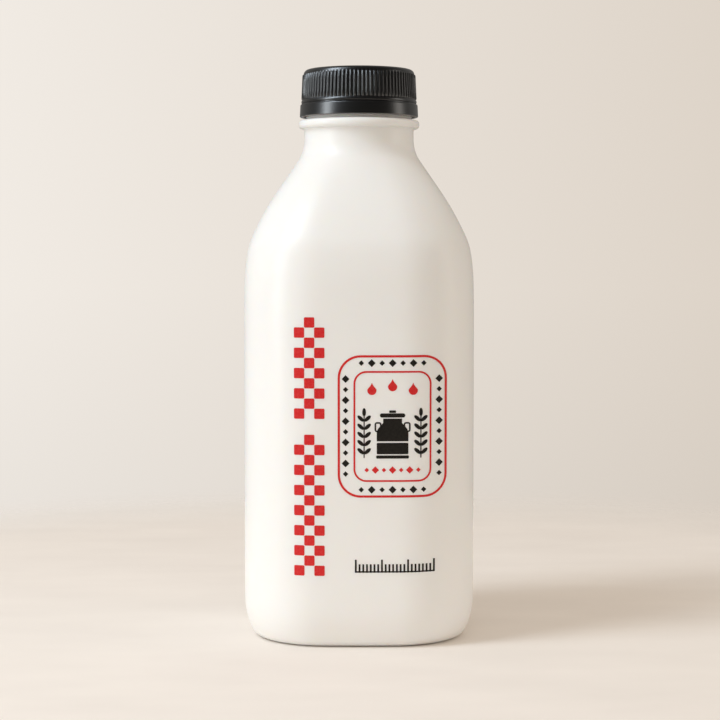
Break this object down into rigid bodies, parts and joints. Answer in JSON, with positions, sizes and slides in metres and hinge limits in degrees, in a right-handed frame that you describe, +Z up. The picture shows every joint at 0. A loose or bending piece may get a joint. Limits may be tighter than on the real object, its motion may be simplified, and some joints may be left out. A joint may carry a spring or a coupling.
{
  "type": "filled square plastic milk jug",
  "caption": "Shut square white plastic milk jug with rounded corners and a sloping shoulder, closed by a ribbed black screw cap with a tamper ring.",
  "frame": {"origin": "on the floor, under the middle of the jug", "axes": "+Z up through the cap; the printed face looks along -Y; +X to the right of that face"},
  "size_m": [0.0834, 0.0834, 0.2054],
  "materials": {
    "bottle_plastic": "soft gloss, blow moulded",
    "cap_plastic": "satin, injection moulded",
    "red_ink": "printed ink",
    "black_ink": "printed ink"
  },
  "bodies": {
    "root": {"bottle": "bottle_plastic", "tamper_ring": "cap_plastic", "cap": "cap_plastic"}
  },
  "joints": []
}
